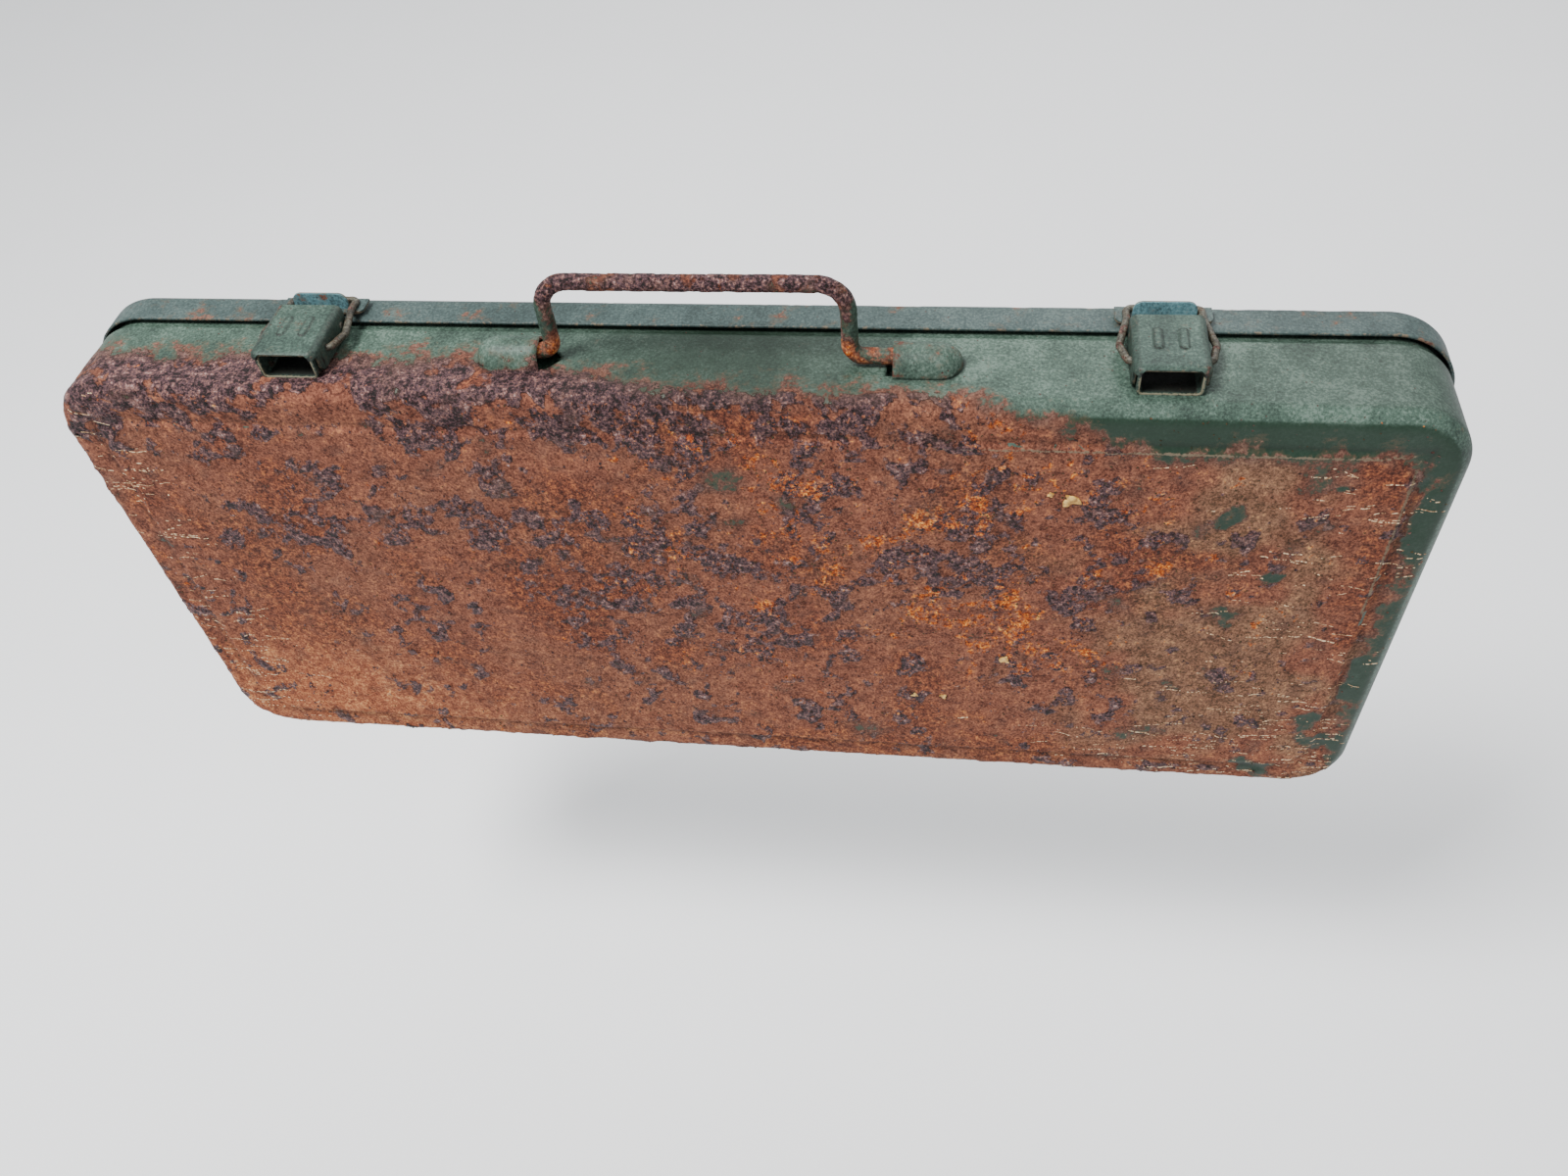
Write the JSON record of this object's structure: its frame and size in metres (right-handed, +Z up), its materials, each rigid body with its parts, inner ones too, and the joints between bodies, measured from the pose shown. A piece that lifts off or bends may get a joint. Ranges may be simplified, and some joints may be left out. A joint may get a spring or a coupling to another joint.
{
  "type": "toolbox with tray",
  "caption": "Flat pressed-steel tool case with a hinged lid, wire carrying handle, toggle draw latches and a divided lift-out tray.",
  "frame": {"origin": "middle of the case's base, on the floor that its hinge edge stands on", "axes": "+X along the length, +Z up from the hinge edge to the handle edge, +Y from the deep shell's face to the lid's face"},
  "size_m": [0.4174, 0.049, 0.2077],
  "materials": {
    "shell_rust": "thick rust over worn green paint",
    "lid_green": "faded grey-green paint",
    "handle_rust": "rusted steel wire",
    "latch_green": "worn light green paint",
    "latch_blue": "worn blue-green paint",
    "wire_steel": "dull oxidised steel",
    "tray_green": "green paint, little worn"
  },
  "bodies": {
    "case": {"deep_shell": "shell_rust", "latch_bracket_left": "latch_green", "latch_pin_left": "wire_steel", "hinge_case_leaf_left": "latch_green", "hinge_pin_left": "wire_steel", "hinge_rivet_case_left_1": "wire_steel", "hinge_rivet_case_left_2": "wire_steel", "tray_rail_left": "tray_green", "latch_bracket_right": "latch_green", "latch_pin_right": "wire_steel", "hinge_case_leaf_right": "latch_green", "hinge_pin_right": "wire_steel", "hinge_rivet_case_right_1": "wire_steel", "hinge_rivet_case_right_2": "wire_steel", "tray_rail_right": "tray_green"},
    "lid": {"lid_shell": "lid_green", "latch_strike_left": "latch_blue", "hinge_lid_leaf_left": "latch_green", "hinge_rivet_lid_left_1": "wire_steel", "hinge_rivet_lid_left_2": "wire_steel", "latch_strike_right": "latch_blue", "hinge_lid_leaf_right": "latch_green", "hinge_rivet_lid_right_1": "wire_steel", "hinge_rivet_lid_right_2": "wire_steel"},
    "carry_handle": {"handle": "handle_rust"},
    "lever_left": {"latch_lever_left": "latch_green"},
    "bail_left": {"latch_bail_left": "wire_steel"},
    "lever_right": {"latch_lever_right": "latch_green"},
    "bail_right": {"latch_bail_right": "wire_steel"},
    "lift_out_tray": {"tray": "tray_green", "tray_divider_long": "tray_green", "tray_divider_cross_1": "tray_green", "tray_divider_cross_2": "tray_green", "tray_divider_cross_3": "tray_green", "tray_pull_left": "wire_steel", "tray_pull_right": "wire_steel"}
  },
  "joints": [
    {"name": "lid_hinge", "type": "hinge", "parent": "case", "child": "lid", "pos_m": [0, 0.009, 0.0017], "axis": [-1, 0, 0], "range_deg": [0, 160]},
    {"name": "handle_swing", "type": "hinge", "parent": "case", "child": "carry_handle", "pos_m": [-0.004, -0.00535, 0.1812], "axis": [1, 0, 0], "range_deg": [-84, 88]},
    {"name": "tray_lift", "type": "slide", "parent": "case", "child": "lift_out_tray", "axis": [0, 1, 0], "range_m": [0, 0.011]},
    {"name": "latch_left_lever", "type": "hinge", "parent": "case", "child": "lever_left", "pos_m": [-0.1262, 0.00305, 0.1828], "axis": [-1, 0, 0], "range_deg": [0, 95]},
    {"name": "latch_left_bail", "type": "hinge", "parent": "lever_left", "child": "bail_left", "pos_m": [-0.1262, -0.00835, 0.1834], "axis": [-1, 0, 0], "range_deg": [-95, 0]},
    {"name": "latch_right_lever", "type": "hinge", "parent": "case", "child": "lever_right", "pos_m": [0.1262, 0.00305, 0.1828], "axis": [-1, 0, 0], "range_deg": [0, 95]},
    {"name": "latch_right_bail", "type": "hinge", "parent": "lever_right", "child": "bail_right", "pos_m": [0.1262, -0.00835, 0.1834], "axis": [-1, 0, 0], "range_deg": [-95, 0]}
  ],
  "couplings": [
    {"joint": "latch_left_bail", "follows": "latch_left_lever", "ratio": -1},
    {"joint": "latch_right_bail", "follows": "latch_right_lever", "ratio": -1}
  ]
}
